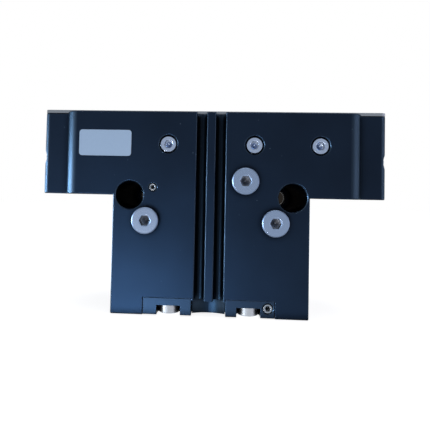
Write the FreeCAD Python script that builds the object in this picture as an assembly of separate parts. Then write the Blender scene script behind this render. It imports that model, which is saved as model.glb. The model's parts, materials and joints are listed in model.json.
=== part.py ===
import FreeCAD, Part
import math
import os

from FreeCAD import Vector

# Pneumatic parallel gripper with a wedge hook drive, all sizes in millimetres.
# X runs along the jaws, the front face looks along -Y, and Z points from the flange to the jaws.
# The origin is the middle of the flange face at the bottom. The jaws are shown closed.

# Housing: a block with a wider bar on top
block_width = 100.0
body_depth = 80.0
shoulder_height = 60.6
body_height = 103.8
bar_length = 179.0
block_round = 0.6
edge_break = 0.4

# Stepped ends of the bar
step_length = 13.5
step_depth = 8.0
step_round = 6.0
step_root = 0.8
corner_round = 2.5

# Guide channel, rails and jaws
channel_width = 50.0
rail_flange = 1.6
jaw_width = 30.0
jaw_length = 72.0
jaw_stand = 2.0
jaw_lift = 0.3
jaw_break = 0.8
closed_gap = 4.0
tooth_height = 5.0
tooth_depth = 3.4
tooth_rise = 5.0
tooth_drop = 6.8
slide_gap = 0.1

# Strokes
jaw_stroke = 16.0
piston_stroke = 20.0

# Wedge hook and the T ribs of the jaws
ramp_rise = 34.1
ramp_gap = 0.1
wedge_height = 20.0
wedge_depth = 28.0
wedge_foot_gap = 1.5
neck_width = 8.0
neck_depth = 2.2
rib_width = 14.0
rib_depth = 2.6
rib_gap = 0.15
cavity_depth = 9.8
cavity_gap = 2.8
cavity_side_gap = 1.0

# Cylinder and its closing at the bottom
bore_radius = 25.0
cover_ledge = 1.0
cover_thickness = 7.0
cover_fit = 0.05
cover_ring_radius = 1.3
cover_dish_radius = 15.0
cover_dish_depth = 2.0
cover_pull_radius = 1.65
cover_pull_pitch = 38.0
cover_pull_depth = 5.0
retainer_recess = 1.2
retainer_thickness = 2.0
retainer_bite = 1.5
retainer_width = 3.8
retainer_gap_angle = 46.0
retainer_lug_radius = 3.2
retainer_eye_radius = 1.25

# Piston with its rings
piston_thickness = 14.0
piston_gap = 0.3
piston_break = 1.0
ring_fit = 0.05
band_rise = 1.4
band_height = 3.2
band_depth = 2.0
magnet_rise = 5.6
magnet_height = 2.4
magnet_depth = 3.2
seal_rise = 9.0
seal_height = 3.2
seal_depth = 4.0
seal_lip = 0.9
seal_valley = 1.6
cushion_height = 0.8
cushion_inner_radius = 17.0
cushion_outer_radius = 21.5
rest_gap = 0.1

# Rod, its guide in the partition and the screw that ties piston, rod and wedge together
rod_radius = 9.0
rod_seat_depth = 2.0
rod_spigot_radius = 6.0
rod_spigot_length = 4.0
rod_gap = 0.3
seal_land = 1.6
rod_seal_height = 3.5
rod_seal_width = 4.0
rod_lip_width = 0.8
rod_lip_depth = 1.4
rod_lip_relief = 0.3
bush_land = 0.9
bush_length = 10.5
bush_wall = 2.0
tie_screw_radius = 4.0
tie_screw_length = 60.0
tie_head_radius = 6.5
tie_head_height = 8.0
tie_head_recess = 8.5
tie_key = 6.0

# Fits and edges of all screws, how far a cutter runs past a face, and the slack when edges are picked
screw_fit = 0.05
clear_hole_gap = 0.3
screw_bevel = 0.4
socket_share = 0.55
socket_mouth = 1.08
socket_drill = 0.45
drill_slope = math.tan(math.radians(60))
over = 1.0
tiny = 0.01

# Sensor slots and the cable pocket under them
slot_width = 5.1
slot_rib = 4.6
slot_bulb_radius = 3.2
slot_bulb_depth = 4.0
slot_break = 0.4
pocket_width = 17.3
pocket_depth = 10.0
pocket_round = 15.0
pocket_height = 7.6

# Clamp blocks beside the pocket, each held by a low head screw from below
clamp_length = 24.6
clamp_height = 8.4
clamp_depth = 12.0
clamp_recess = 0.3
clamp_seam = 0.2
clamp_top_seam = 0.05
notch_width = 12.0
notch_height = 4.7
notch_offset = 11.55
clamp_screw_set_back = 6.0
clamp_screw_radius = 3.0
clamp_screw_length = 12.0
clamp_head_radius = 5.2
clamp_head_height = 4.3
clamp_key = 4.0
clamp_set_screw_radius = 2.5
clamp_set_screw_key = 2.5
clamp_set_screw_inset = 3.4
clamp_set_screw_height = 5.0
clamp_set_screw_length = 8.0

# Long mounting bores from front to back, on the line of the shoulder
mount_inset = 8.5
mount_bore_radius = 7.15
mount_hole_radius = 4.5
mount_floor = 14.0
mount_sleeve_radius = 6.0
mount_sleeve_depth = 2.5
mouth_break = 0.5

# Air ports with collared plugs
port_pitch = 65.6
port_height = 47.75
purge_port_x = 17.6
purge_port_height = 68.6
port_radius = 4.85
port_depth = 9.0
port_drill_radius = 3.0
plug_collar_radius = 6.75
plug_collar_height = 3.2
plug_collar_break = 0.5
plug_length = 8.0
plug_key = 5.0
plug_key_depth = 4.5
seal_ring_thickness = 1.0
seal_ring_margin = 0.4
passage_radius = 1.5
base_port_set_back = 16.0
base_port_radius = 2.1
base_port_depth = 8.0
chamber_port_offset = 2.2

# Small set screw that closes a passage, and how far set screws lie below the face
set_screw_recess = 0.3
passage_screw_radius = 2.0
passage_screw_key = 2.0
passage_screw_inset = 20.4
passage_screw_height = 64.8
passage_screw_length = 6.0
passage_screw_drill_radius = 1.25

# Screws of the guide rails
rail_screw_drop = 16.8
rail_screw_inner_x = 22.0
rail_screw_outer_x = 55.0
rail_screw_radius = 2.5
rail_screw_grip = 6.3
rail_head_radius = 4.25
rail_head_height = 5.0
rail_head_recess = 5.3
rail_head_bore_radius = 4.7
rail_key = 4.0

# Flush grease nipples in the ends of the bar, each at the bottom of a countersink
nipple_inset = 3.3
nipple_sink = 1.8
nipple_button_radius = 1.5
nipple_button_height = 1.2
nipple_radius = 2.5
nipple_length = 5.0
nipple_mouth_radius = 0.9
lube_radius = 1.2
lube_set_back = 9.0

# Holes in the flange face
flange_pitch_x = 80.0
flange_pitch_y = 56.0
flange_hole_radius = 3.4
flange_hole_depth = 18.0
dowel_pitch = 80.0
dowel_radius = 3.0
dowel_depth = 10.0

# Holes on top of each jaw for the fingers
finger_pitch = 24.0
finger_inset = 18.0
finger_hole_radius = 2.5
finger_hole_depth = 15.0
finger_sleeve_radius = 5.0
finger_sleeve_depth = 2.6

# Bare label plate on the front of the bar
label_inset = 34.8
label_drop = 16.55
label_length = 27.2
label_width = 13.4
label_thickness = 0.4
label_round = 1.6

# Sizes and heights that follow from those above
front_y = -body_depth / 2
rear_y = body_depth / 2
bar_end = bar_length / 2
end_y = body_depth / 2 - step_depth
side_wall = (body_depth - channel_width) / 2

cover_radius = bore_radius + cover_ledge
cover_bottom = retainer_recess + retainer_thickness
cover_top = cover_bottom + cover_thickness
piston_bottom = cover_top + rest_gap + cushion_height
piston_top = piston_bottom + piston_thickness
bore_top = piston_top + piston_stroke + cushion_height + rest_gap
rod_seal_floor = bore_top + seal_land
bush_floor = rod_seal_floor + rod_seal_height + bush_land
cavity_floor = bush_floor + bush_length
wedge_foot = cavity_floor + wedge_foot_gap
wedge_top = wedge_foot + wedge_height

channel_floor = cavity_floor + cavity_depth
rail_top = body_height + rail_flange
rail_screw_height = body_height - rail_screw_drop
rail_screw_length = side_wall - rail_head_recess + rail_screw_grip
label_height = body_height - label_drop
jaw_bottom = channel_floor + jaw_lift
jaw_top = rail_top + jaw_stand
jaw_inner = closed_gap / 2
jaw_outer = jaw_inner + jaw_length
tooth_floors = [jaw_bottom + tooth_rise, rail_top - tooth_drop - tooth_height]
lube_height = tooth_floors[0] + tooth_height / 2
nipple_y = end_y - nipple_inset

ramp_top = wedge_foot + ramp_rise
ramp_ratio = jaw_stroke / piston_stroke
ramp_length = math.hypot(1.0, ramp_ratio)
cavity_half = jaw_inner + ramp_rise * ramp_ratio + cavity_gap
cavity_side = wedge_depth / 2 + cavity_side_gap

mount_x = block_width / 2 - mount_inset
passage_screw_x = passage_screw_inset - block_width / 2
label_x = label_inset - bar_end
slot_centre = (slot_rib + slot_width) / 2
pocket_half = pocket_width / 2
notch_x = pocket_half + notch_offset
clamp_screw_y = front_y + clamp_screw_set_back
base_port_y = front_y + base_port_set_back

front = Vector(0, -1, 0)
rear = Vector(0, 1, 0)
up = Vector(0, 0, 1)
down = Vector(0, 0, -1)


# Helpers for shapes that repeat

def box(x0, x1, y0, y1, z0, z1):
    return Part.makeBox(x1 - x0, y1 - y0, z1 - z0, Vector(x0, y0, z0))


def flat_face(points):
    return Part.Face(Part.makePolygon(points + points[:1]))


def prism_along_x(profile, x0, x1):
    points = [Vector(x0, y, z) for y, z in profile]
    return flat_face(points).extrude(Vector(x1 - x0, 0, 0))


def prism_along_y(profile, y0, y1):
    points = [Vector(x, y0, z) for x, z in profile]
    return flat_face(points).extrude(Vector(0, y1 - y0, 0))


def turned(profile):
    points = [Vector(r, 0, z) for r, z in profile]
    return flat_face(points).revolve(Vector(0, 0, 0), up, 360)


def rounded_face(corners):
    # Closed outline of right-angled corners (x, y, radius), each rounded by its own radius.
    edges = []
    ends = []
    count = len(corners)
    for i in range(count):
        corner = Vector(corners[i][0], corners[i][1], 0)
        before = Vector(corners[i - 1][0], corners[i - 1][1], 0)
        after = Vector(corners[(i + 1) % count][0], corners[(i + 1) % count][1], 0)
        radius = corners[i][2]
        back = (before - corner).normalize() * radius
        ahead = (after - corner).normalize() * radius
        ends.append((corner + back, corner + ahead))
        if radius > 0:
            middle = corner + (back + ahead) * (1 - math.sqrt(0.5))
            edges.append(Part.Arc(corner + back, middle, corner + ahead).toShape())
    for i in range(count):
        start = ends[i][1]
        end = ends[(i + 1) % count][0]
        edges.append(Part.makeLine(start, end))
    return Part.Face(Part.Wire(Part.__sortEdges__(edges)))


def aimed(shape, place, outward):
    # Puts a shape that was made on the Z axis at a place, with +Z turned to the outward direction.
    moved = shape.copy()
    moved.Placement = FreeCAD.Placement(place, FreeCAD.Rotation(up, outward))
    return moved


def hole(steps, place, outward, mouth=0.0):
    # Cutter for a stepped hole: (radius, depth) pairs from the mouth inwards, with a broken edge.
    first = steps[0][0]
    profile = [(0, over), (first + mouth + (over if mouth else 0), over)]
    profile.append((first, -mouth))
    level = 0
    for radius, depth in steps:
        if level:
            profile.append((radius, level))
        level = -depth
        profile.append((radius, level))
    profile.append((0, level))
    return aimed(turned(profile), place, outward)


def hexagon(key, top, depth):
    # Cutter for a hexagon socket on the Z axis, with a broken mouth and the point of its drill in the floor.
    corner = key / math.sqrt(3)
    turns = [math.radians(60 * i) for i in range(6)]
    points = [Vector(corner * math.cos(a), corner * math.sin(a), top) for a in turns]
    wide = corner * socket_mouth
    narrow = key * socket_drill
    mouth = Part.makeCone(wide, 0, wide / drill_slope, Vector(0, 0, top), down)
    point = Part.makeCone(narrow, 0, narrow / drill_slope, Vector(0, 0, top - depth), down)
    return flat_face(points).extrude(Vector(0, 0, -depth)).fuse([mouth, point])


def cap_screw(radius, length, head_radius, head_height, key):
    bevel = screw_bevel
    profile = [(0, -length), (radius - bevel, -length), (radius, bevel - length), (radius, 0)]
    profile += [(head_radius, 0), (head_radius, head_height - bevel)]
    profile += [(head_radius - bevel, head_height), (0, head_height)]
    return turned(profile).cut(hexagon(key, head_height, head_height * socket_share))


def set_screw(radius, length, key):
    bevel = screw_bevel
    profile = [(0, -length), (radius - bevel, -length), (radius, bevel - length)]
    profile += [(radius, -bevel), (radius - bevel, 0), (0, 0)]
    return turned(profile).cut(hexagon(key, 0, key))


def mirrored(shape, axis):
    return shape.mirror(Vector(0, 0, 0), axis)


# Housing

def bar_plan():
    corners = []
    step_x = bar_end - step_length
    for sx, sy in ((1, -1), (1, 1), (-1, 1), (-1, -1)):
        quarter = [(sx * step_x, sy * body_depth / 2, step_round), (sx * step_x, sy * end_y, step_root)]
        quarter.append((sx * bar_end, sy * end_y, corner_round))
        corners += quarter if sx * sy < 0 else quarter[::-1]
    return rounded_face(corners)


def level_edges(prism, heights):
    flat = [edge for edge in prism.Edges if edge.BoundBox.ZLength < tiny]
    return [edge for edge in flat if min(abs(edge.BoundBox.ZMin - height) for height in heights) < tiny]


def housing_blank():
    # The block reaches a little into the bar, so that the broken lower edge of the bar ends at its sides.
    half = block_width / 2
    plan = [(half, front_y, block_round), (half, rear_y, block_round)]
    plan += [(-half, rear_y, block_round), (-half, front_y, block_round)]
    block = rounded_face(plan).extrude(Vector(0, 0, shoulder_height + 2 * edge_break))
    block = block.makeChamfer(edge_break, level_edges(block, [0]))
    bar = bar_plan().extrude(Vector(0, 0, body_height - shoulder_height))
    bar.translate(Vector(0, 0, shoulder_height))
    bar = bar.makeChamfer(edge_break, level_edges(bar, [shoulder_height, body_height]))
    return block.fuse(bar).removeSplitter()


def cylinder_cutter():
    rod_hole = rod_radius + rod_gap
    groove = cover_radius + retainer_bite
    seal_radius = rod_radius + rod_seal_width
    bush_radius = rod_radius + bush_wall
    profile = [(0, -over), (cover_radius, -over), (cover_radius, retainer_recess), (groove, retainer_recess)]
    profile += [(groove, cover_bottom), (cover_radius, cover_bottom), (cover_radius, cover_top)]
    profile += [(bore_radius, cover_top), (bore_radius, bore_top), (rod_hole, bore_top)]
    profile += [(rod_hole, rod_seal_floor), (seal_radius, rod_seal_floor)]
    profile += [(seal_radius, rod_seal_floor + rod_seal_height), (rod_hole, rod_seal_floor + rod_seal_height)]
    profile += [(rod_hole, bush_floor), (bush_radius, bush_floor)]
    profile += [(bush_radius, cavity_floor + over), (0, cavity_floor + over)]
    return turned(profile)


def slot_cutter(centre):
    # C-shaped section: a narrow mouth with broken edges and a round bulb behind it.
    half = slot_width / 2
    neck = front_y + slot_bulb_depth - math.sqrt(slot_bulb_radius ** 2 - half ** 2)
    floor = pocket_height - over
    out = front_y - over
    mouth = half + slot_break
    points = [(-half, neck), (-half, front_y + slot_break), (-mouth, front_y), (-mouth, out)]
    points += [(mouth, out), (mouth, front_y), (half, front_y + slot_break), (half, neck)]
    corners = [Vector(centre + x, y, floor) for x, y in points]
    back = Vector(centre, front_y + slot_bulb_depth + slot_bulb_radius, floor)
    edges = [Part.makeLine(a, b) for a, b in zip(corners, corners[1:])]
    edges.append(Part.Arc(corners[-1], back, corners[0]).toShape())
    return Part.Face(Part.Wire(edges)).extrude(Vector(0, 0, body_height + over - floor))


def pocket_cutter():
    # Open to the front and below, with a back that is a shallow arc.
    axis_y = front_y + pocket_depth - pocket_round
    round_back = Part.makeCylinder(pocket_round, pocket_height + over, Vector(0, axis_y, -over))
    room = box(-pocket_half, pocket_half, front_y - over, front_y + pocket_depth, -over, pocket_height)
    return room.common(round_back)


def clamp_seat_cutter(side):
    outer = pocket_half + clamp_length + clamp_seam
    near, far = sorted((side * (pocket_half - clamp_seam), side * outer))
    top = clamp_recess + clamp_height + clamp_top_seam
    seat = box(near, far, front_y - over, front_y + clamp_depth + clamp_seam, -over, top)
    place = Vector(side * notch_x, clamp_screw_y, top)
    thread = hole([(clamp_screw_radius + screw_fit, clamp_screw_length)], place, down)
    return [seat, thread]


def mounting_bore_cutters(side):
    x = side * mount_x
    steps = [(mount_bore_radius, body_depth - mount_floor), (mount_hole_radius, body_depth + over)]
    bore = hole(steps, Vector(x, front_y, shoulder_height), front, mouth_break)
    back = Vector(x, rear_y, shoulder_height)
    sleeve = hole([(mount_sleeve_radius, mount_sleeve_depth)], back, rear, mouth_break)
    return [bore, sleeve]


def main_port_cutters(side, chamber_height):
    # Front port, the drilling up from the flange that meets it, and the way into the cylinder.
    x = side * port_pitch / 2
    steps = [(port_radius, port_depth), (port_drill_radius, base_port_set_back)]
    port = hole(steps, Vector(x, front_y, port_height), front, mouth_break)
    steps = [(base_port_radius, base_port_depth), (passage_radius, port_height)]
    rise = hole(steps, Vector(x, base_port_y, 0), down)
    start = Vector(x, base_port_y, chamber_height)
    inwards = Vector(-x, -base_port_y, 0)
    reach = inwards.Length - bore_radius + passage_radius
    way = Part.makeCylinder(passage_radius, reach, start, inwards)
    return [port, rise, way]


def small_port_cutters():
    purge = [(port_radius, port_depth), (port_drill_radius, body_depth / 2 - cavity_side + over)]
    closed = [(passage_screw_radius + screw_fit, set_screw_recess + passage_screw_length)]
    closed.append((passage_screw_drill_radius, body_depth / 2 - cavity_side + over))
    cutters = [hole(purge, Vector(purge_port_x, front_y, purge_port_height), front, mouth_break)]
    cutters.append(hole(closed, Vector(passage_screw_x, front_y, passage_screw_height), front, edge_break))
    return cutters


def rail_screw_places(side):
    xs = (-rail_screw_outer_x, -rail_screw_inner_x, rail_screw_inner_x, rail_screw_outer_x)
    return [Vector(x, side * body_depth / 2, rail_screw_height) for x in xs]


def rail_hole_cutters(side):
    steps = [(rail_head_bore_radius, rail_head_recess)]
    steps.append((rail_screw_radius + clear_hole_gap, side_wall + over))
    return [hole(steps, place, Vector(0, side, 0), edge_break) for place in rail_screw_places(side)]


def nipple_places():
    return [(Vector(sx * bar_end, sy * nipple_y, lube_height), Vector(sx, 0, 0))
            for sx in (-1, 1) for sy in (-1, 1)]


def nipple_hole_cutters():
    cutters = []
    steps = [(nipple_radius + screw_fit, nipple_sink + nipple_length)]
    steps.append((lube_radius, lube_set_back + lube_radius))
    for place, outward in nipple_places():
        cutters.append(hole(steps, place, outward, nipple_sink))
        turn = place - outward * lube_set_back
        inwards = Vector(0, -math.copysign(1, place.y), 0)
        cutters.append(Part.makeCylinder(lube_radius, nipple_y - channel_width / 2 + over, turn, inwards))
    return cutters


def flange_hole_cutters():
    cutters = []
    for sx in (-1, 1):
        dowel = Vector(sx * dowel_pitch / 2, 0, 0)
        cutters.append(hole([(dowel_radius, dowel_depth)], dowel, down, edge_break))
        for sy in (-1, 1):
            place = Vector(sx * flange_pitch_x / 2, sy * flange_pitch_y / 2, 0)
            cutters.append(hole([(flange_hole_radius, flange_hole_depth)], place, down, mouth_break))
    return cutters


def housing():
    channel_half = channel_width / 2
    cutters = [cylinder_cutter(), pocket_cutter()]
    past = bar_end + over
    cutters.append(box(-past, past, -channel_half, channel_half, channel_floor, body_height + over))
    far = channel_floor + over
    cutters.append(box(-cavity_half, cavity_half, -cavity_side, cavity_side, cavity_floor, far))
    for side in (-1, 1):
        cutters.append(slot_cutter(side * slot_centre))
        cutters += clamp_seat_cutter(side)
        cutters += mounting_bore_cutters(side)
        cutters += rail_hole_cutters(side)
    cutters += main_port_cutters(-1, bore_top - chamber_port_offset)
    cutters += main_port_cutters(1, cover_top + chamber_port_offset)
    cutters += small_port_cutters() + nipple_hole_cutters() + flange_hole_cutters()
    return housing_blank().cut(cutters)


# Guide rails and jaws

def front_rail():
    inner = -jaw_width / 2 - slide_gap
    groove = inner - tooth_depth
    outer = -channel_width / 2
    profile = [(inner, channel_floor)]
    for floor in tooth_floors:
        low = floor - slide_gap
        high = floor + tooth_height + slide_gap
        profile += [(inner, low), (groove, low), (groove, high), (inner, high)]
    profile += [(inner, rail_top), (-end_y, rail_top), (-end_y, body_height), (outer, body_height)]
    profile.append((outer, channel_floor))
    rail = prism_along_x(profile, -bar_end, bar_end)
    plan = [(bar_end, -end_y, corner_round), (bar_end, 0, 0)]
    plan += [(-bar_end, 0, 0), (-bar_end, -end_y, corner_round)]
    rail = rail.common(rounded_face(plan).extrude(Vector(0, 0, rail_top)))
    cutters = nipple_hole_cutters()
    for place in rail_screw_places(-1):
        start = Vector(place.x, outer, place.z)
        cutters.append(hole([(rail_screw_radius + screw_fit, rail_screw_grip)], start, front))
    for side in (-1, 1):
        start = Vector(side * (bar_end - lube_set_back), outer - over, lube_height)
        cutters.append(Part.makeCylinder(lube_radius, groove - outer + 2 * over, start, rear))
    return rail.cut(cutters)


def ramp_x(height):
    return jaw_inner + (ramp_top - height) * ramp_ratio


def ramp_strip(low, high, near, far):
    # Outline between two lines parallel to the ramp of the right jaw, at distances towards the wedge.
    points = []
    for height, distance in ((low, near), (high, near), (high, far), (low, far)):
        points.append((ramp_x(height) - distance / ramp_length, height - distance * ramp_ratio / ramp_length))
    return points


def right_jaw():
    half = jaw_width / 2
    tooth = half + tooth_depth
    top = jaw_top - jaw_break
    side = [(half, jaw_bottom)]
    for floor in tooth_floors:
        side += [(half, floor), (tooth, floor), (tooth, floor + tooth_height), (half, floor + tooth_height)]
    side += [(half, top), (half - jaw_break, jaw_top)]
    profile = side + [(-y, z) for y, z in side[::-1]]
    jaw = prism_along_x(profile, jaw_inner, jaw_outer)
    low = jaw_bottom - over
    past = jaw_inner - over
    under = [(past, low), (ramp_x(low), low), (jaw_inner, ramp_top), (past, ramp_top)]
    jaw = jaw.cut(prism_along_y(under, -tooth - over, tooth + over))
    deep = neck_depth + rib_depth
    start = low - deep
    end = ramp_top + deep
    neck = prism_along_y(ramp_strip(start, end, -neck_depth, neck_depth), -neck_width / 2, neck_width / 2)
    rib = prism_along_y(ramp_strip(start, end, neck_depth, deep), -rib_width / 2, rib_width / 2)
    room = box(jaw_inner, jaw_outer, -half, half, jaw_bottom, min(ramp_top, jaw_top))
    jaw = jaw.fuse(neck.fuse(rib).common(room)).removeSplitter()
    steps = [(finger_sleeve_radius, finger_sleeve_depth), (finger_hole_radius, finger_hole_depth)]
    cutters = []
    for i in range(2):
        place = Vector(jaw_outer - finger_inset - i * finger_pitch, 0, jaw_top)
        cutters.append(hole(steps, place, up, edge_break))
    return jaw.cut(cutters)


# Wedge hook, rod and piston

def wedge_hook():
    half = wedge_depth / 2
    right = [(ramp_x(z) - ramp_gap * ramp_length, z) for z in (wedge_foot, wedge_top)]
    profile = right + [(-x, z) for x, z in right[::-1]]
    wedge = prism_along_y(profile, -half, half)
    low = wedge_foot - wedge_height
    high = wedge_top + wedge_height
    neck_half = neck_width / 2 + rib_gap
    rib_half = rib_width / 2 + rib_gap
    deep = neck_depth + rib_depth + rib_gap
    neck = prism_along_y(ramp_strip(low, high, -over, neck_depth), -neck_half, neck_half)
    rib = prism_along_y(ramp_strip(low, high, neck_depth - rib_gap, deep), -rib_half, rib_half)
    slot = neck.fuse(rib)
    foot = Vector(0, 0, wedge_foot)
    thread_depth = piston_bottom + tie_head_recess + tie_screw_length - wedge_foot
    steps = [(rod_spigot_radius + screw_fit, rod_spigot_length), (tie_screw_radius + screw_fit, thread_depth)]
    return wedge.cut([slot, mirrored(slot, Vector(1, 0, 0)), hole(steps, foot, down)])


def piston_rod():
    bottom = piston_top - rod_seat_depth
    hollow = tie_screw_radius + clear_hole_gap
    top = wedge_foot + rod_spigot_length
    profile = [(hollow, bottom), (rod_radius - edge_break, bottom), (rod_radius, bottom + edge_break)]
    profile += [(rod_radius, wedge_foot), (rod_spigot_radius, wedge_foot)]
    profile += [(rod_spigot_radius, top - edge_break), (rod_spigot_radius - edge_break, top), (hollow, top)]
    return turned(profile)


def piston():
    radius = bore_radius - piston_gap
    head_bore = tie_head_radius + clear_hole_gap
    hollow = tie_screw_radius + clear_hole_gap
    seat = rod_radius + screw_fit
    grooves = ((band_rise, band_height, band_depth), (magnet_rise, magnet_height, magnet_depth))
    grooves += ((seal_rise, seal_height, seal_depth),)
    profile = [(head_bore, piston_bottom), (radius - piston_break, piston_bottom)]
    profile.append((radius, piston_bottom + piston_break))
    for rise, height, depth in grooves:
        low = piston_bottom + rise
        high = low + height
        profile += [(radius, low), (radius - depth, low), (radius - depth, high), (radius, high)]
    profile += [(radius, piston_top - piston_break), (radius - piston_break, piston_top), (seat, piston_top)]
    profile += [(seat, piston_top - rod_seat_depth), (hollow, piston_top - rod_seat_depth)]
    profile += [(hollow, piston_bottom + tie_head_recess), (head_bore, piston_bottom + tie_head_recess)]
    return turned(profile)


def piston_ring(rise, height, depth, outer):
    low = piston_bottom + rise + ring_fit
    high = piston_bottom + rise + height - ring_fit
    inner = bore_radius - piston_gap - depth + ring_fit
    return turned([(inner, low), (outer, low), (outer, high), (inner, high)])


def piston_seal():
    # Two lips that reach the bore, with a groove between them.
    low = piston_bottom + seal_rise + ring_fit
    high = piston_bottom + seal_rise + seal_height - ring_fit
    outer = bore_radius - ring_fit
    valley = outer - seal_valley
    inner = bore_radius - piston_gap - seal_depth + ring_fit
    profile = [(inner, low), (outer, low), (outer, low + seal_lip), (valley, (low + high) / 2)]
    profile += [(outer, high - seal_lip), (outer, high), (inner, high)]
    return turned(profile)


def end_cushions():
    ring = Part.makeCylinder(cushion_outer_radius, cushion_height)
    ring = ring.cut(Part.makeCylinder(cushion_inner_radius, cushion_height))
    lower = aimed(ring, Vector(0, 0, piston_bottom - cushion_height), up)
    upper = aimed(ring, Vector(0, 0, piston_top), up)
    return Part.makeCompound([lower, upper])


def piston_screw():
    screw = cap_screw(tie_screw_radius, tie_screw_length, tie_head_radius, tie_head_height, tie_key)
    return aimed(screw, Vector(0, 0, piston_bottom + tie_head_recess), down)


# Pieces that close and guide the cylinder

def rod_bush():
    inner = rod_radius + ring_fit
    outer = rod_radius + bush_wall - screw_fit
    top = cavity_floor
    profile = [(inner, bush_floor), (outer - edge_break, bush_floor), (outer, bush_floor + edge_break)]
    profile += [(outer, top), (inner + edge_break, top), (inner, top - edge_break)]
    return turned(profile)


def rod_seal():
    inner = rod_radius + ring_fit
    outer = rod_radius + rod_seal_width - ring_fit
    low = rod_seal_floor + ring_fit
    high = rod_seal_floor + rod_seal_height - ring_fit
    middle = (inner + outer) / 2
    profile = [(inner, low), (inner + rod_lip_width, low), (middle, low + rod_lip_depth)]
    profile += [(outer - rod_lip_width, low), (outer, low), (outer, high), (inner + rod_lip_relief, high)]
    return turned(profile)


def cylinder_cover():
    radius = cover_radius - cover_fit
    centre = (cover_bottom + cover_top) / 2
    low = centre - cover_ring_radius
    high = centre + cover_ring_radius
    groove = radius - 2 * cover_ring_radius + cover_fit
    dish = cover_bottom + cover_dish_depth
    profile = [(0, dish), (cover_dish_radius, dish), (cover_dish_radius, cover_bottom)]
    profile += [(radius - edge_break, cover_bottom), (radius, cover_bottom + edge_break)]
    profile += [(radius, low), (groove, low), (groove, high), (radius, high)]
    profile += [(radius, cover_top - edge_break), (radius - edge_break, cover_top), (0, cover_top)]
    cutters = []
    for side in (-1, 1):
        place = Vector(side * cover_pull_pitch / 2, 0, cover_bottom)
        cutters.append(hole([(cover_pull_radius, cover_pull_depth)], place, down))
    return turned(profile).cut(cutters)


def cover_o_ring():
    centre = cover_radius - cover_ring_radius - cover_fit / 2
    return Part.makeTorus(centre, cover_ring_radius - ring_fit, Vector(0, 0, (cover_bottom + cover_top) / 2))


def cover_retaining_ring():
    outer = cover_radius + retainer_bite - cover_fit
    inner = outer - retainer_width
    height = retainer_thickness - ring_fit
    ring = Part.makeCylinder(outer, height).cut(Part.makeCylinder(inner, height))
    half = math.radians(retainer_gap_angle / 2)
    reach = outer * 2
    wedge = [Vector(0, 0, 0), Vector(-reach * math.sin(half), reach * math.cos(half), 0)]
    wedge.append(Vector(reach * math.sin(half), reach * math.cos(half), 0))
    ring = ring.cut(flat_face(wedge).extrude(Vector(0, 0, height)))
    lug_turn = half + retainer_lug_radius / inner
    lug_reach = cover_radius - retainer_lug_radius - cover_fit - clear_hole_gap
    for side in (-1, 1):
        centre = Vector(side * lug_reach * math.sin(lug_turn), lug_reach * math.cos(lug_turn), 0)
        ring = ring.fuse(Part.makeCylinder(retainer_lug_radius, height, centre))
        ring = ring.cut(Part.makeCylinder(retainer_eye_radius, height, centre))
    ring = ring.removeSplitter()
    ring.translate(Vector(0, 0, retainer_recess))
    return ring


# Pieces on the front and in the ends of the bar

def port_plug(x, height):
    thread = port_radius - screw_fit
    length = plug_length
    seat = seal_ring_thickness
    top = seat + plug_collar_height
    bevel = plug_collar_break
    profile = [(0, -length), (thread - bevel, -length), (thread, bevel - length), (thread, seat)]
    profile += [(plug_collar_radius, seat), (plug_collar_radius, top - bevel)]
    profile += [(plug_collar_radius - bevel, top), (0, top)]
    plug = turned(profile).cut(hexagon(plug_key, top, plug_key_depth))
    return aimed(plug, Vector(x, front_y, height), front)


def plug_places():
    main_x = port_pitch / 2
    return [(-main_x, port_height), (main_x, port_height), (purge_port_x, purge_port_height)]


def plug_sealing_rings():
    outer = plug_collar_radius - seal_ring_margin
    ring = Part.makeCylinder(outer, seal_ring_thickness)
    ring = ring.cut(Part.makeCylinder(port_radius + mouth_break, seal_ring_thickness))
    return Part.makeCompound([aimed(ring, Vector(x, front_y, z), front) for x, z in plug_places()])


def passage_set_screw():
    place = Vector(passage_screw_x, front_y + set_screw_recess, passage_screw_height)
    screw = set_screw(passage_screw_radius, passage_screw_length, passage_screw_key)
    return aimed(screw, place, front)


def clamp_set_screw_place():
    x = pocket_half + clamp_length - clamp_set_screw_inset
    return Vector(x, front_y, clamp_set_screw_height)


def clamp_block(side):
    outer = pocket_half + clamp_length
    low = clamp_recess
    high = clamp_recess + clamp_height
    near, far = sorted((side * pocket_half, side * outer))
    block = box(near, far, front_y, front_y + clamp_depth, low, high)
    edges = [edge for edge in block.Edges if edge.BoundBox.YMax < front_y + tiny]
    edges = [edge for edge in edges if edge.BoundBox.ZMin < high - tiny]
    block = block.makeChamfer(edge_break / 2, edges)
    x = side * notch_x
    half = notch_width / 2
    notch = box(x - half, x + half, front_y - over, clamp_screw_y, low - over, low + notch_height)
    notch = notch.fuse(Part.makeCylinder(half, notch_height + over, Vector(x, clamp_screw_y, low - over)))
    foot = Vector(x, clamp_screw_y, low)
    shank = Part.makeCylinder(clamp_screw_radius + clear_hole_gap, clamp_height, foot)
    cutters = [notch, shank]
    if side > 0:
        steps = [(clamp_set_screw_radius + screw_fit, clamp_depth + over)]
        cutters.append(hole(steps, clamp_set_screw_place(), front, edge_break))
    return block.cut(cutters)


def clamp_block_screws():
    screw = cap_screw(clamp_screw_radius, clamp_screw_length, clamp_head_radius, clamp_head_height, clamp_key)
    height = clamp_recess + notch_height
    places = [Vector(side * notch_x, clamp_screw_y, height) for side in (-1, 1)]
    return Part.makeCompound([aimed(screw, place, down) for place in places])


def clamp_set_screw():
    place = clamp_set_screw_place() + rear * set_screw_recess
    screw = set_screw(clamp_set_screw_radius, clamp_set_screw_length, clamp_set_screw_key)
    return aimed(screw, place, front)


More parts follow.
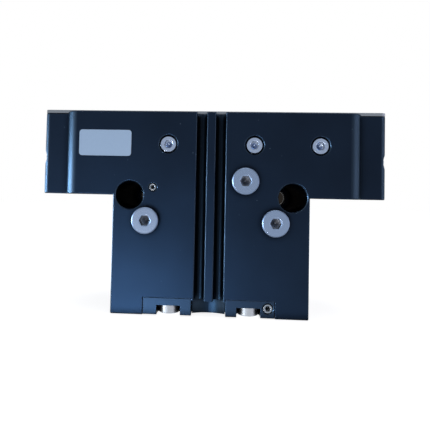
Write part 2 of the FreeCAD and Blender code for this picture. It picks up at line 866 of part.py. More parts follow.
def rail_screws(side):
    screw = cap_screw(rail_screw_radius, rail_screw_length, rail_head_radius, rail_head_height, rail_key)
    outward = Vector(0, side, 0)
    places = [place - outward * rail_head_recess for place in rail_screw_places(side)]
    return Part.makeCompound([aimed(screw, place, outward) for place in places])


def grease_nipples():
    length = nipple_length
    shoulder = nipple_radius - edge_break
    profile = [(0, -length), (shoulder, -length), (nipple_radius, edge_break - length)]
    profile += [(nipple_radius, -edge_break), (shoulder, 0), (nipple_button_radius, 0)]
    top = nipple_button_height
    profile += [(nipple_button_radius, top), (nipple_mouth_radius, top), (0, top - nipple_mouth_radius)]
    nipple = turned(profile)
    return Part.makeCompound([aimed(nipple, p - out * nipple_sink, out) for p, out in nipple_places()])


def label_plate():
    half_x = label_length / 2
    half_y = label_width / 2
    corners = [(half_x, -half_y, label_round), (half_x, half_y, label_round)]
    corners += [(-half_x, half_y, label_round), (-half_x, -half_y, label_round)]
    plate = rounded_face(corners).extrude(Vector(0, 0, label_thickness))
    return aimed(plate, Vector(label_x, front_y, label_height), front)


left_plug, right_plug, purge_plug = plug_places()
rail = front_rail()
jaw = right_jaw()
ring_outer = bore_radius - ring_fit
nodes = {
    "housing": housing(),
    "front_guide_rail": rail,
    "rear_guide_rail": mirrored(rail, rear),
    "front_rail_screws": rail_screws(-1),
    "rear_rail_screws": rail_screws(1),
    "left_jaw": mirrored(jaw, Vector(1, 0, 0)),
    "right_jaw": jaw,
    "wedge_hook": wedge_hook(),
    "piston_rod": piston_rod(),
    "piston": piston(),
    "piston_screw": piston_screw(),
    "piston_guide_band": piston_ring(band_rise, band_height, band_depth, ring_outer),
    "piston_magnet": piston_ring(magnet_rise, magnet_height, magnet_depth, bore_radius - piston_gap),
    "piston_seal": piston_seal(),
    "end_cushions": end_cushions(),
    "rod_bush": rod_bush(),
    "rod_seal": rod_seal(),
    "cylinder_cover": cylinder_cover(),
    "cover_o_ring": cover_o_ring(),
    "cover_retaining_ring": cover_retaining_ring(),
    "left_port_plug": port_plug(*left_plug),
    "right_port_plug": port_plug(*right_plug),
    "purge_port_plug": port_plug(*purge_plug),
    "plug_sealing_rings": plug_sealing_rings(),
    "passage_set_screw": passage_set_screw(),
    "left_clamp_block": clamp_block(-1),
    "right_clamp_block": clamp_block(1),
    "clamp_block_screws": clamp_block_screws(),
    "clamp_set_screw": clamp_set_screw(),
    "grease_nipples": grease_nipples(),
    "label_plate": label_plate(),
}

os.makedirs("parts", exist_ok=True)
for name, shape in nodes.items():
    shape.exportStep("parts/" + name + ".step")
    state = "valid" if shape.isValid() else "NOT VALID"
    print(name, state, len(shape.Solids), "solids", round(shape.Volume), "mm3")
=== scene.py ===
import json
import math
import bmesh
import bpy
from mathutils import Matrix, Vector


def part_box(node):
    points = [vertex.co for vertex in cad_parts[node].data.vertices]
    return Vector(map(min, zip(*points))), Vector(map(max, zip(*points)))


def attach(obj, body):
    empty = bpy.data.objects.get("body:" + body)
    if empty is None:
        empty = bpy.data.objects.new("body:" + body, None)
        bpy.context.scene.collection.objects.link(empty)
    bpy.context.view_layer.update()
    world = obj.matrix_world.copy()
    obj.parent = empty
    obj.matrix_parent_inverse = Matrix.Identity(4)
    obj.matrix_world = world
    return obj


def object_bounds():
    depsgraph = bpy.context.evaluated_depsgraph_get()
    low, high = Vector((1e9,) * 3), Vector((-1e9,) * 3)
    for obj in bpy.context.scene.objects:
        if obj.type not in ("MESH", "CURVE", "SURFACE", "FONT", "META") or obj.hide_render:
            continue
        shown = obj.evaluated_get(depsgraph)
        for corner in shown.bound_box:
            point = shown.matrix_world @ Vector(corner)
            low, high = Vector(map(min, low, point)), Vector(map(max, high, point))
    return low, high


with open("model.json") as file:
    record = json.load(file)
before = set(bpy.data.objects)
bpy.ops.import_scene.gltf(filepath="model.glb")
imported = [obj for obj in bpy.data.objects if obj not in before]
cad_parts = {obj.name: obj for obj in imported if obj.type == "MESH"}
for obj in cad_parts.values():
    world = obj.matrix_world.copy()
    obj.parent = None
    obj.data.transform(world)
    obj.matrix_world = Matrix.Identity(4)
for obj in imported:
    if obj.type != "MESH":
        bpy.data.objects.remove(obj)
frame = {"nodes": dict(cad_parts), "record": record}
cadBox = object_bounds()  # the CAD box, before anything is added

nodes = frame["nodes"]
subparts = frame["record"]["subparts"]
mounts = {mount["name"]: mount for mount in frame["record"]["mounts"]}
scene = bpy.context.scene
scene.view_settings.view_transform = "Standard"
print("frame loaded:", len(nodes), "nodes")


def metres(size):  # from millimetres
    return size / 1000


def perMm(size):  # texture scale for a feature of that many millimetres, since coordinates are in metres
    return 1000 / size


def srgb(text):  # sRGB hex to linear RGBA
    parts = [int(text[i:i + 2], 16) / 255 for i in (1, 3, 5)]
    return tuple(c / 12.92 if c <= 0.04045 else ((c + 0.055) / 1.055) ** 2.4 for c in parts) + (1.0,)


def addNode(tree, kind, inputs=None, **settings):
    node = tree.nodes.new("ShaderNode" + kind)
    for key, value in settings.items():
        setattr(node, key, value)
    for key, value in (inputs or {}).items():
        if isinstance(value, bpy.types.NodeSocket):
            tree.links.new(value, node.inputs[key])
        else:
            node.inputs[key].default_value = value
    return node


def newMaterial(name):
    material = bpy.data.materials.new(name)
    material.use_nodes = True
    tree = material.node_tree
    return material, tree, tree.nodes["Principled BSDF"]


def addObject(name, data):
    thing = bpy.data.objects.new(name, data)
    scene.collection.objects.link(thing)
    return thing


def flatSheet(name, corners, material):  # one flat face
    mesh = bpy.data.meshes.new(name)
    mesh.from_pydata(corners, [], [tuple(range(len(corners)))])
    mesh.materials.append(material)
    return addObject(name, mesh)


# camera where the photograph was taken: level with the shoulder of the T, close in front
cameraView = {
    "place": (0.005, -0.30191, 0.060),
    "turnDegrees": (92.1626, -1.2398, 3.9811),
    "lens": 43.116,
    "shift": (0.07157, -0.08686),
    "nearClip": 0.01,
}
cameraData = bpy.data.cameras.new("photoCamera")
cameraData.lens = cameraView["lens"]
cameraData.shift_x, cameraData.shift_y = cameraView["shift"]
cameraData.clip_start = cameraView["nearClip"]
camera = addObject("photoCamera", cameraData)
camera.location = cameraView["place"]
camera.rotation_euler = [math.radians(angle) for angle in cameraView["turnDegrees"]]
scene.camera = camera
print("camera set")


# white sweep: the floor takes the shadow, and stays white to the eye and in reflections
stageLook = {
    "floorSize": 6.0,
    "floorDropMm": 0.4,
    "floorColour": "#f2f2f2",
    "floorGlow": 0.88,
    "skyColour": "#e6ecf8",
    "skyLevel": 0.18,
}


def seenDirectly(tree):  # 1 for rays from the eye, a gloss or a clear piece, and 0 for soft light
    rays = addNode(tree, "LightPath").outputs
    either = addNode(tree, "Math", {0: rays["Is Camera Ray"], 1: rays["Is Glossy Ray"]},
                     operation="MAXIMUM")
    seen = addNode(tree, "Math", {0: either.outputs[0], 1: rays["Is Transmission Ray"]},
                   operation="MAXIMUM")
    return seen.outputs[0]


# matt paper: even white; the low windows shine up through it, and it is clear when seen from below
floorMaterial, tree, shader = newMaterial("mattPaperSweep")
tree.nodes.remove(shader)
paper = addNode(tree, "BsdfDiffuse", {"Color": srgb(stageLook["floorColour"])})
glow = addNode(tree, "Math", {0: seenDirectly(tree), 1: stageLook["floorGlow"]}, operation="MULTIPLY")
light = addNode(tree, "Emission", {"Color": srgb("#ffffff"), "Strength": glow.outputs[0]})
both = addNode(tree, "AddShader", {0: paper.outputs[0], 1: light.outputs[0]})
shadowRay = addNode(tree, "LightPath").outputs["Is Shadow Ray"]
fromBelow = addNode(tree, "NewGeometry").outputs["Backfacing"]
through = addNode(tree, "Math", {0: shadowRay, 1: fromBelow}, operation="MAXIMUM")
clear = addNode(tree, "BsdfTransparent")
passing = addNode(tree, "MixShader", {0: through.outputs[0], 1: both.outputs[0], 2: clear.outputs[0]})
tree.links.new(passing.outputs[0], tree.nodes["Material Output"].inputs["Surface"])
half = stageLook["floorSize"] / 2
floorCorners = [(-half, -half, 0), (half, -half, 0), (half, half, 0), (-half, half, 0)]
floor = flatSheet("studioFloor", floorCorners, floorMaterial)
floor.location.z = -metres(stageLook["floorDropMm"])

# painted shade: a dim, dark brown glowing disc down in each mounting hole stands in for the shade at its far
# end; clear from behind
shadeDiscLook = {"colour": "#262320", "sunkMm": 4.0, "clearMm": 0.1, "corners": 32}
shadeDiscMaterial, tree, shader = newMaterial("paintedShadeDisc")
tree.nodes.remove(shader)
shadeGlow = addNode(tree, "Emission", {"Color": srgb(shadeDiscLook["colour"])})
fromBehind = addNode(tree, "NewGeometry").outputs["Backfacing"]
clear = addNode(tree, "BsdfTransparent")
oneSided = addNode(tree, "MixShader", {0: fromBehind, 1: shadeGlow.outputs[0], 2: clear.outputs[0]})
tree.links.new(oneSided.outputs[0], tree.nodes["Material Output"].inputs["Surface"])
sideBolts = mounts["side_bolts"]
discRadius = metres(sideBolts["dims"]["hole_r_mm"] - shadeDiscLook["clearMm"])
discY = cadBox[1][1] - metres(shadeDiscLook["sunkMm"])
discZ = sideBolts["pos_m"][2]
angles = [2 * math.pi * i / shadeDiscLook["corners"] for i in range(shadeDiscLook["corners"])]
for name, sx in (("benchBehindLeftBore", -1), ("benchBehindRightBore", 1)):
    discX = sx * metres(sideBolts["dims"]["spacing_x_mm"]) / 2
    rim = [(discX + discRadius * math.cos(a), discY, discZ + discRadius * math.sin(a)) for a in angles]
    disc = flatSheet(name, rim, shadeDiscMaterial)

world = bpy.data.worlds.new("studioWorld")
world.use_nodes = True
scene.world = world
tree = world.node_tree
tree.nodes.clear()
soft = addNode(tree, "Background", {"Color": srgb(stageLook["skyColour"]),
                                    "Strength": stageLook["skyLevel"]})
white = addNode(tree, "Background", {"Color": srgb("#ffffff"), "Strength": 1.0})
pick = addNode(tree, "MixShader", {0: seenDirectly(tree), 1: soft.outputs[0], 2: white.outputs[0]})
addNode(tree, "OutputWorld", {"Surface": pick.outputs[0]})

# the windows are strong because black metal gives so little back, so each misses what it would bleach:
# slots of the record or single pieces, apart from the pieces that it still reaches
studioLights = {
    # low in front on the left, for the black body
    "windowLow": {"place": (-0.24, -0.90, -0.30), "aim": (-0.04, -0.04, 0.02), "size": (0.30, 0.30),
                  "power": 7.6, "colour": "#c2e9ff",
                  "misses": ("ground_steel", "plated_steel")},
    # beside it, warmer, for the plated pieces
    "windowLowWarm": {"place": (-0.27, -0.90, -0.30), "aim": (-0.04, -0.04, 0.02), "size": (0.30, 0.30),
                      "power": 4.9, "colour": "#fff2e5",
                      "misses": ("ground_steel", "black_anodised_aluminium", "label_foil",
                                 "clamp_block_screws")},
    # long and low at the left side
    "windowLeft": {"place": (-0.60, -0.12, 0.03), "aim": (-0.06, -0.05, 0.05), "size": (0.46, 0.17),
                   "power": 8.0, "colour": "#dcf0ff",
                   "misses": ("ground_steel", "label_foil")},
    # its front end, dimmed by a curtain
    "curtainLeft": {"place": (-0.60, -0.52, 0.03), "aim": (-0.06, -0.05, 0.05), "size": (0.36, 0.17),
                    "power": 1.8, "colour": "#ffffff",
                    "misses": ("ground_steel", "label_foil", "plated_steel"),
                    "reaches": ("clamp_block_screws",)},
    # a weak pale wall and a soft ceiling, for everything
    "wallRight": {"place": (0.60, -0.25, 0.10), "aim": (0.06, -0.08, 0.05), "size": (0.66, 0.40),
                  "power": 0.8, "colour": "#f0e4f8"},
    "ceiling": {"place": (0.0, 0.05, 0.95), "aim": (0.0, 0.0, 0.0), "size": (0.90, 0.90),
                "power": 2.0, "colour": "#ffffff"},
}
for name, look in studioLights.items():
    lamp = bpy.data.lights.new(name, "AREA")
    lamp.shape = "RECTANGLE"
    lamp.size, lamp.size_y = look["size"]
    lamp.energy = look["power"]
    lamp.color = srgb(look["colour"])[:3]
    lamp.cycles.use_multiple_importance_sampling = False  # else the floor hides the low windows from a gloss
    holder = addObject(name, lamp)
    holder.location = look["place"]
    ahead = Vector(look["aim"]) - Vector(look["place"])
    holder.rotation_euler = ahead.to_track_quat("-Z", "Y").to_euler()
    if "misses" in look:
        lit = bpy.data.collections.new(name + "Lights")
        for part in subparts:
            missed = part["material_slot"] in look["misses"] or part["node"] in look["misses"]
            if not missed or part["node"] in look.get("reaches", ()):
                lit.objects.link(nodes[part["node"]])
        holder.light_linking.receiver_collection = lit
print("stage and lights set:", len(studioLights), "lamps")


# what the finishes share
surfaceLook = {
    "edgeFade": (0.99, 0.80),  # cosine between the true and the rounded normal, from flat face to full edge
    "edgeSamples": 6,
    "hollowSamples": 8,
    "noiseSpan": (0.3, 0.7),  # where nearly all values of a noise lie
}
noiseDetail = {"cloud": 3.0, "blast": 2.0, "wear": 4.0, "lines": 4.0, "rings": 2.0, "powder": 3.0}  # octaves


def edgesAndPaintedShade(tree, look):  # rounded edge normal, edge mask and how open the place is, which sets the painted shade
    rounded = addNode(tree, "Bevel", {"Radius": metres(look["edgeMm"])}, samples=surfaceLook["edgeSamples"])
    true = addNode(tree, "NewGeometry")
    match = addNode(tree, "VectorMath", {0: rounded.outputs[0], 1: true.outputs["Normal"]},
                    operation="DOT_PRODUCT")
    edge = addNode(tree, "MapRange", {"Value": match.outputs["Value"],
                                      "From Min": surfaceLook["edgeFade"][0],
                                      "From Max": surfaceLook["edgeFade"][1]})
    shade = addNode(tree, "AmbientOcclusion", {"Distance": metres(look["hollowMm"])},
                    samples=surfaceLook["hollowSamples"])
    opened = addNode(tree, "MapRange", {"Value": shade.outputs["AO"],
                                        "From Min": look["hollowRange"][0],
                                        "From Max": look["hollowRange"][1]})
    return rounded.outputs[0], edge.outputs["Result"], opened.outputs["Result"]


def grainAndRoughness(tree, pattern, look, dimensions="3D"):  # a surface's grain, and the roughness with it
    noise = addNode(tree, "TexNoise", pattern, noise_dimensions=dimensions)
    uneven = addNode(tree, "MapRange", {"Value": noise.outputs["Fac"],
                                        "From Min": surfaceLook["noiseSpan"][0],
                                        "From Max": surfaceLook["noiseSpan"][1],
                                        "To Min": look["roughness"][0],
                                        "To Max": look["roughness"][1]})
    return noise.outputs["Fac"], uneven.outputs["Result"]


# black anodised aluminium, milled and fine blasted: a satin navy black with a soft wide sheen, greyer on worn
# edges, a painted sheen that is paler on the upright round corners, painted shade in hollows, and a few
# specks of dust
blackLook = {
    "deep": "#111823",
    "lifted": "#172130",
    # painted shade: the colour that closed places and spots beside other pieces darken to
    "hollow": "#030406",
    "worn": "#46566e",
    "paintedSheen": "#283543",
    "cornerRoughness": 0.32,
    "cornerSlant": 0.36,  # product of the normal's X and Y at which a corner gets the full painted sheen
    "edgeTint": "#b7b9bb",  # a darker one would turn faces black where they are seen at a slant
    "roughness": (0.31, 0.37),
    "cloudMm": 30.0,
    "grainMm": 0.45,  # the real blast grain is about 0.05 mm, drawn coarser so that it shows
    "grainHeightMm": 0.01,
    "grainStrength": 0.35,
    "edgeMm": 0.45,
    "hollowMm": 6.5,
    "hollowRange": (0.40, 0.88),
    "undersideMm": 0.2,  # the flange face rests on the floor, and still gets no painted shade
    "wearMm": 4.0,
    "wearNoise": (0.35, 0.75),
    "wearShare": (0.1, 0.8),
    "dust": "#5d6b7c",
    "dustEveryMm": 7.0,
    "dustSizeMm": 0.32,
    "dustShare": 0.6,
}


def blackAnodised(name, look):
    material, tree, shader = newMaterial(name)
    place = addNode(tree, "TexCoord").outputs["Object"]
    edgeNormal, edge, opened = edgesAndPaintedShade(tree, look)
    cloud = addNode(tree, "TexNoise", {"Vector": place, "Scale": perMm(look["cloudMm"]),
                                       "Detail": noiseDetail["cloud"]})
    grain, satin = grainAndRoughness(tree, {"Vector": place, "Scale": perMm(look["grainMm"]),
                                            "Detail": noiseDetail["blast"]}, look)
    patchy = addNode(tree, "TexNoise", {"Vector": place, "Scale": perMm(look["wearMm"]),
                                        "Detail": noiseDetail["wear"]})
    colour = addNode(tree, "Mix", {"Factor": cloud.outputs["Fac"], "A": srgb(look["deep"]),
                                   "B": srgb(look["lifted"])}, data_type="RGBA")
    wear = addNode(tree, "MapRange", {"Value": patchy.outputs["Fac"],
                                      "From Min": look["wearNoise"][0], "From Max": look["wearNoise"][1],
                                      "To Min": look["wearShare"][0], "To Max": look["wearShare"][1]})
    wornEdge = addNode(tree, "Math", {0: edge, 1: wear.outputs["Result"]}, operation="MULTIPLY")
    rimmed = addNode(tree, "Mix", {"Factor": wornEdge.outputs[0], "A": colour.outputs["Result"],
                                   "B": srgb(look["worn"])}, data_type="RGBA")
    cells = addNode(tree, "TexVoronoi", {"Vector": place, "Scale": perMm(look["dustEveryMm"])})
    speck = addNode(tree, "MapRange", {"Value": cells.outputs["Distance"],
                                       "From Max": look["dustSizeMm"] / look["dustEveryMm"],
                                       "To Min": look["dustShare"], "To Max": 0.0})
    dusty = addNode(tree, "Mix", {"Factor": speck.outputs["Result"], "A": rimmed.outputs["Result"],
                                  "B": srgb(look["dust"])}, data_type="RGBA")
    # painted sheen: corners whose normal lies between X and Y get a paler base colour, which brightens their
    # highlights
    facing = addNode(tree, "SeparateXYZ", {0: addNode(tree, "NewGeometry").outputs["Normal"]})
    slant = addNode(tree, "Math", {0: facing.outputs["X"], 1: facing.outputs["Y"]}, operation="MULTIPLY")
    steep = addNode(tree, "Math", {0: slant.outputs[0]}, operation="ABSOLUTE")
    corner = addNode(tree, "MapRange", {"Value": steep.outputs[0], "From Max": look["cornerSlant"]})
    paintedSheen = addNode(tree, "Mix", {"Factor": corner.outputs["Result"], "A": dusty.outputs["Result"],
                                   "B": srgb(look["paintedSheen"])}, data_type="RGBA")
    # painted shade: the base colour darkens where ambient occlusion finds the place closed, but not on the
    # flange face
    height = addNode(tree, "SeparateXYZ", {0: place})
    under = addNode(tree, "Math", {0: height.outputs["Z"], 1: metres(look["undersideMm"])},
                    operation="LESS_THAN")
    unshaded = addNode(tree, "Math", {0: opened, 1: under.outputs[0]}, operation="MAXIMUM")
    shaded = addNode(tree, "Mix", {"Factor": unshaded.outputs[0], "A": srgb(look["hollow"]),
                                   "B": paintedSheen.outputs["Result"]}, data_type="RGBA")
    rough = addNode(tree, "MapRange", {"Value": corner.outputs["Result"], "To Min": satin,
                                       "To Max": look["cornerRoughness"]})
    bump = addNode(tree, "Bump", {"Height": grain, "Strength": look["grainStrength"],
                                  "Distance": metres(look["grainHeightMm"]), "Normal": edgeNormal})
    tree.links.new(shaded.outputs["Result"], shader.inputs["Base Color"])
    tree.links.new(rough.outputs["Result"], shader.inputs["Roughness"])
    tree.links.new(bump.outputs["Normal"], shader.inputs["Normal"])
    shader.inputs["Metallic"].default_value = 1.0
    shader.inputs["Specular Tint"].default_value = srgb(look["edgeTint"])
    return material


# the machined metals: their real lines, rings and pores are about 0.05 to 0.1 mm wide, drawn coarser to show
metalLook = {
    "edgeRoughness": 0.40,  # tumbled edges of the small steel parts spread their glint
    "lineHeightMm": 0.01,
    "lineStrength": 0.2,
}
# ground steel: bright grey with fine straight grinding lines along the jaws
groundLook = {
    "dark": "#666d76", "bright": "#8a919b", "hollow": "#14161a", "roughness": (0.24, 0.36), "lineMm": 0.5,
    "lineRun": 0.03,  # the width of a line over its length
    "endFacing": 0.7,  # the normal's X past which a face is an end face
    "edgeMm": 0.25, "hollowMm": 3.0, "hollowRange": (0.22, 0.85),
}
# zinc plated steel: satin bluish silver, painted plain grey shade down in the sockets
platedLook = {
    "dark": "#7d8ca5", "bright": "#92a1ba", "hollow": "#6a7076", "roughness": (0.18, 0.26), "lineMm": 0.9,
    "edgeMm": 0.15, "hollowMm": 2.0, "hollowRange": (0.16, 0.80),
}
# the same plating on a turned plug: fine rings round its own axis, painted brown grey shade in the deep
# socket
turnedLook = {
    "dark": "#6b7d98", "bright": "#7d8fac", "hollow": "#55524c", "roughness": (0.18, 0.24),
    "ringMm": 0.35,
    "acrossMm": 13.5,  # the plug's collar
    "slantRoughness": 0.46,  # the turned chamfer is duller than the front face
    "slantFacing": (0.85, 0.97),  # the normal's Y from chamfer to front face
    "edgeMm": 0.15, "hollowMm": 5.0, "hollowRange": (0.12, 0.62),
}
# the same plating on the low heads of the clamp screws, thick and dull: a wide soft shine on their sides
dullLook = {
    "dark": "#9ca2aa", "bright": "#b6bbc2", "hollow": "#7a7e84", "roughness": (0.40, 0.48), "lineMm": 0.5,
    "edgeMm": 0.15, "hollowMm": 0.8, "hollowRange": (0.10, 0.60),
}
# worn black oxide on set screws: grey faces with the rim and key edges worn pale, partly a painted highlight
oxideLook = {
    "dark": "#626b76", "bright": "#7d8793", "hollow": "#2a2f36", "rim": "#b4bdc9",
    "roughness": (0.24, 0.34), "lineMm": 0.6, "edgeMm": 0.3, "hollowMm": 3.0, "hollowRange": (0.30, 0.80),
}
# hard chromed steel: bright mirror with faint polishing
chromedLook = {
    "dark": "#b9bdc4", "bright": "#d5d8de", "hollow": "#30333a", "roughness": (0.08, 0.14), "lineMm": 0.4,
    "edgeMm": 0.2, "hollowMm": 3.0, "hollowRange": (0.22, 0.85),
}
# turned aluminium, left plain: soft white grey
plainLook = {
    "dark": "#9aa0a8", "bright": "#b9bfc8", "hollow": "#24272c", "roughness": (0.30, 0.42), "lineMm": 0.6,
    "edgeMm": 0.25, "hollowMm": 4.0, "hollowRange": (0.22, 0.85),
}
# phosphated spring steel: dark grey with a dull shine
springLook = {
    "dark": "#3a3c40", "bright": "#55585e", "hollow": "#0b0b0c", "roughness": (0.34, 0.48), "lineMm": 0.8,
    "edgeMm": 0.2, "hollowMm": 2.0, "hollowRange": (0.22, 0.85),
}
# sintered bronze: warm brown with open pores
bronzeLook = {
    "dark": "#7a5a34", "bright": "#a67f4c", "hollow": "#20170d", "roughness": (0.34, 0.50), "lineMm": 0.5,
    "edgeMm": 0.2, "hollowMm": 2.0, "hollowRange": (0.22, 0.85),
}


def grainedMetal(name, look):
    material, tree, shader = newMaterial(name)
    spot = addNode(tree, "TexCoord")
    edgeNormal, edge, opened = edgesAndPaintedShade(tree, look)
    if "ringMm" in look:  # rings by the distance from the axis of the piece, which points to the front
        middle = addNode(tree, "VectorMath", {0: spot.outputs["Generated"], 1: (0.5, 0.5, 0.5)},
                         operation="SUBTRACT")
        flat = addNode(tree, "VectorMath", {0: middle.outputs["Vector"], 1: (1.0, 0.0, 1.0)},
                       operation="MULTIPLY")
        away = addNode(tree, "VectorMath", {0: flat.outputs["Vector"]}, operation="LENGTH")
        rings = {"W": away.outputs["Value"], "Scale": look["acrossMm"] / look["ringMm"],
                 "Detail": noiseDetail["rings"]}
        lines, faceRoughness = grainAndRoughness(tree, rings, look, "1D")
    else:
        place = spot.outputs["Object"]
        if "lineRun" in look:  # lines along X, and along Y on the end faces
            lengthways = addNode(tree, "VectorMath", {0: place, 1: (look["lineRun"], 1.0, 1.0)},
                                 operation="MULTIPLY")
            sideways = addNode(tree, "VectorMath", {0: place, 1: (1.0, look["lineRun"], 1.0)},
                               operation="MULTIPLY")
            facing = addNode(tree, "SeparateXYZ", {0: addNode(tree, "NewGeometry").outputs["Normal"]})
            ending = addNode(tree, "Math", {0: facing.outputs["X"]}, operation="ABSOLUTE")
            isEnd = addNode(tree, "Math", {0: ending.outputs[0], 1: look["endFacing"]},
                            operation="GREATER_THAN")
            along = addNode(tree, "Mix", {"Factor": isEnd.outputs[0], "A": lengthways.outputs["Vector"],
                                          "B": sideways.outputs["Vector"]}, data_type="VECTOR")
            place = along.outputs["Result"]
        strokes = {"Vector": place, "Scale": perMm(look["lineMm"]), "Detail": noiseDetail["lines"]}
        lines, faceRoughness = grainAndRoughness(tree, strokes, look)
    colour = addNode(tree, "Mix", {"Factor": lines, "A": srgb(look["dark"]),
                                   "B": srgb(look["bright"])}, data_type="RGBA")
    # painted shade: the colour darkens towards the shade colour where ambient occlusion finds the place
    # closed
    shaded = addNode(tree, "Mix", {"Factor": opened, "A": srgb(look["hollow"]),
                                   "B": colour.outputs["Result"]}, data_type="RGBA")
    # the rim colour along every edge: edges worn pale, and also a painted highlight
    if "rim" in look:
        shaded = addNode(tree, "Mix", {"Factor": edge, "A": shaded.outputs["Result"],
                                       "B": srgb(look["rim"])}, data_type="RGBA")
    if "slantRoughness" in look:
        facing = addNode(tree, "SeparateXYZ", {0: addNode(tree, "NewGeometry").outputs["Normal"]})
        frontal = addNode(tree, "Math", {0: facing.outputs["Y"]}, operation="ABSOLUTE")
        chamfered = addNode(tree, "MapRange", {"Value": frontal.outputs[0],
                                               "From Min": look["slantFacing"][0],
                                               "From Max": look["slantFacing"][1],
                                               "To Min": look["slantRoughness"], "To Max": faceRoughness})
        faceRoughness = chamfered.outputs["Result"]
    rough = addNode(tree, "MapRange", {"Value": edge, "To Min": faceRoughness,
                                       "To Max": metalLook["edgeRoughness"]})
    bump = addNode(tree, "Bump", {"Height": lines, "Strength": metalLook["lineStrength"],
                                  "Distance": metres(metalLook["lineHeightMm"]), "Normal": edgeNormal})
    tree.links.new(shaded.outputs["Result"], shader.inputs["Base Color"])
    tree.links.new(rough.outputs["Result"], shader.inputs["Roughness"])
    tree.links.new(bump.outputs["Normal"], shader.inputs["Normal"])
    shader.inputs["Metallic"].default_value = 1.0
    return material


# the non-metals: their real grain is below 0.1 mm, drawn coarser to show
# moulded seal rubber: nearly black with a soft uneven shine
rubberLook = {"dark": "#101012", "bright": "#1c1c1f", "roughness": (0.50, 0.66), "grainMm": 0.4}
# turned bearing plastic: waxy grey green
plasticLook = {"dark": "#3f4a44", "bright": "#56635b", "roughness": (0.38, 0.50), "grainMm": 0.6}
# magnet powder pressed with a binder: charcoal with a faint grain
magnetLook = {"dark": "#232326", "bright": "#37373b", "roughness": (0.42, 0.60), "grainMm": 0.3}
# label foil with a matt face: pale silver grey, almost even
foilLook = {"dark": "#9fa5b7", "bright": "#adb3c5", "roughness": (0.34, 0.46), "grainMm": 0.5}


def dullSurface(name, look):
    material, tree, shader = newMaterial(name)
    place = addNode(tree, "TexCoord").outputs["Object"]
    grain, rough = grainAndRoughness(tree, {"Vector": place, "Scale": perMm(look["grainMm"]),
                                            "Detail": noiseDetail["powder"]}, look)
    colour = addNode(tree, "Mix", {"Factor": grain, "A": srgb(look["dark"]),
                                   "B": srgb(look["bright"])}, data_type="RGBA")
    tree.links.new(colour.outputs["Result"], shader.inputs["Base Color"])
    tree.links.new(rough, shader.inputs["Roughness"])
    return material


finishes = {
    "black_anodised_aluminium": blackAnodised("blackAnodisedAluminium", blackLook),
    "ground_steel": grainedMetal("groundSteel", groundLook),
    "plated_steel": grainedMetal("zincPlatedSteel", platedLook),
    "chromed_rod": grainedMetal("hardChromedSteel", chromedLook),
    "plain_aluminium": grainedMetal("turnedAluminium", plainLook),
    "spring_steel": grainedMetal("phosphatedSpringSteel", springLook),
    "bronze": grainedMetal("sinteredBronze", bronzeLook),
    "bearing_plastic": dullSurface("turnedBearingPlastic", plasticLook),
    "bonded_magnet": dullSurface("pressedBondedMagnet", magnetLook),
    "black_rubber": dullSurface("mouldedSealRubber", rubberLook),
    "label_foil": dullSurface("mattLabelFoil", foilLook),
}
# pieces that differ from the rest of their slot; the clamp blocks are a paler, painted-lit copy of the
# housing
litClampBlockLook = dict(blackLook, deep="#19212d", lifted="#202a39")
turnedPlug = grainedMetal("turnedZincPlatedSteel", turnedLook)
setScrew = grainedMetal("blackOxideSteel", oxideLook)
dullHead = grainedMetal("dullZincPlatedSteel", dullLook)
litClampBlock = blackAnodised("paintedLitBlackAnodisedAluminium", litClampBlockLook)
ownFinish = {
    "left_port_plug": turnedPlug,
    "right_port_plug": turnedPlug,
    "purge_port_plug": turnedPlug,
    "passage_set_screw": setScrew,
    "clamp_set_screw": setScrew,
    "clamp_block_screws": dullHead,
    "left_clamp_block": litClampBlock,
    "right_clamp_block": litClampBlock,
}
for part in subparts:
    finish = ownFinish.get(part["node"], finishes[part["material_slot"]])
    for materialSlot in nodes[part["node"]].material_slots:
        materialSlot.material = finish
print("materials set:", len(finishes), "by slot, and", len(ownFinish), "pieces with their own")


def addPiece(name, bm, body, slotName):
    bmesh.ops.recalc_face_normals(bm, faces=bm.faces)
    for face in bm.faces:
        face.smooth = True
    mesh = bpy.data.meshes.new(name)
    bm.to_mesh(mesh)
    bm.free()
    mesh.materials.append(finishes[slotName])
    piece = addObject(name, mesh)
    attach(piece, body)


# tapped holes: ridges that run down into the hole, on the faces that stay open
threadLook = {
    "flange_bolts": {"pitchMm": 1.25, "startMm": 0.9, "turns": 8,
                     "body": "housing", "slot": "black_anodised_aluminium"},
    "left_air_port": {"pitchMm": 0.8, "startMm": 0.0, "turns": 7,
                      "body": "housing", "slot": "black_anodised_aluminium"},
    "right_air_port": {"pitchMm": 0.8, "startMm": 0.0, "turns": 7,
                       "body": "housing", "slot": "black_anodised_aluminium"},
    "left_finger_bolts": {"pitchMm": 1.0, "startMm": -0.6, "turns": 9,
                          "body": "left_jaw", "slot": "ground_steel"},
    "right_finger_bolts": {"pitchMm": 1.0, "startMm": -0.6, "turns": 9,
                           "body": "right_jaw", "slot": "ground_steel"},
}
threadForm = {
    "steps": 22,  # in a turn
    "runOutTurns": 1 / 3,  # the thread runs in and out over this part of a turn
    "riseShare": 0.30,  # of the pitch
    "footShare": 0.46,  # of the pitch, to each side
    "gripMm": 0.05,  # how deep the foot sits in the wall
}


def threadRidge(bm, mouth, inward, radius, pitch, turns):
    steps = threadForm["steps"]
    runOut = steps * threadForm["runOutTurns"]
    total = turns * steps
    side = inward.orthogonal().normalized()
    other = inward.cross(side)
    spread = inward * pitch * threadForm["footShare"]
    rings = []
    for i in range(total + 1):
        angle = 2 * math.pi * i / steps
        out = side * math.cos(angle) + other * math.sin(angle)
        fade = min(1.0, i / runOut, (total - i) / runOut)
        axis = mouth + inward * (pitch * i / steps)
        foot = axis + out * (radius + metres(threadForm["gripMm"]))
        crest = axis + out * (radius - pitch * threadForm["riseShare"] * fade)
        rings.append([bm.verts.new(point) for point in (foot - spread, crest, foot + spread)])
    for near, far in zip(rings, rings[1:]):
        for a in range(3):
            b = (a + 1) % 3
            bm.faces.new((near[a], near[b], far[b], far[a]))
    bm.faces.new(rings[0][::-1])
    bm.faces.new(rings[-1])


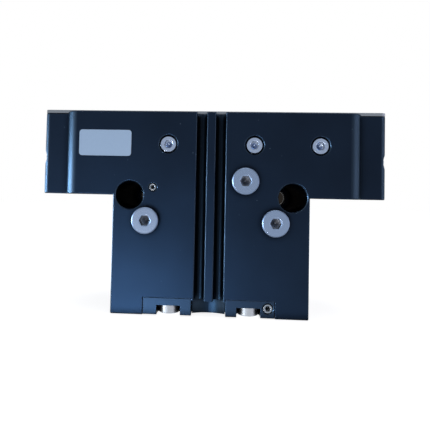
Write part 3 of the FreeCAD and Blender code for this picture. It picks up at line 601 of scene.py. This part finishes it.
def holePlaces(mount):
    halfX = metres(mount["dims"].get("spacing_x_mm", 0)) / 2
    halfY = metres(mount["dims"].get("spacing_y_mm", 0)) / 2
    spots = {(sx * halfX, sy * halfY) for sx in (-1, 1) for sy in (-1, 1)}
    return [Vector(mount["pos_m"]) + Vector((x, y, 0)) for x, y in sorted(spots)]


for name, look in threadLook.items():
    mount = mounts[name]
    inward = -Vector(mount["axis"])
    radius = metres(mount["dims"].get("hole_r_mm", mount["dims"].get("r_mm")))
    bm = bmesh.new()
    for place in holePlaces(mount):
        mouth = place + inward * metres(look["startMm"])
        threadRidge(bm, mouth, inward, radius, metres(look["pitchMm"]), look["turns"])
    addPiece(name + "_thread", bm, look["body"], look["slot"])
print("threads cut:", len(threadLook))


# grease nipples: the spring ball that closes each mouth
nippleBall = {
    "bodyRadiusMm": 2.5,
    "ballRadiusMm": 0.7,
    "sunkMm": 0.4,
    "capDegrees": 100,
    "around": 18,  # faces in a ring
    "down": 7,  # rings from the pole to the rim of the cap
}


def domedBall(bm, centre, outward, look):
    radius = metres(look["ballRadiusMm"])
    side = outward.orthogonal().normalized()
    other = outward.cross(side)
    pole = bm.verts.new(centre + outward * radius)
    rings = []
    for j in range(1, look["down"] + 1):
        tilt = math.radians(look["capDegrees"]) * j / look["down"]
        ring = []
        for i in range(look["around"]):
            angle = 2 * math.pi * i / look["around"]
            out = side * math.cos(angle) + other * math.sin(angle)
            ring.append(bm.verts.new(centre + (outward * math.cos(tilt) + out * math.sin(tilt)) * radius))
        rings.append(ring)
    for i in range(look["around"]):
        k = (i + 1) % look["around"]
        bm.faces.new((pole, rings[0][i], rings[0][k]))
        for near, far in zip(rings, rings[1:]):
            bm.faces.new((near[i], far[i], far[k], near[k]))
    bm.faces.new(rings[-1][::-1])


low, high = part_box("grease_nipples")
reach = high[0] - metres(nippleBall["sunkMm"])
sideways = high[1] - metres(nippleBall["bodyRadiusMm"])
level = (low[2] + high[2]) / 2
bm = bmesh.new()
for sx in (-1, 1):
    for sy in (-1, 1):
        domedBall(bm, Vector((sx * reach, sy * sideways, level)), Vector((sx, 0, 0)), nippleBall)
addPiece("grease_nipple_balls", bm, "housing", "plated_steel")
print("nipple balls set")
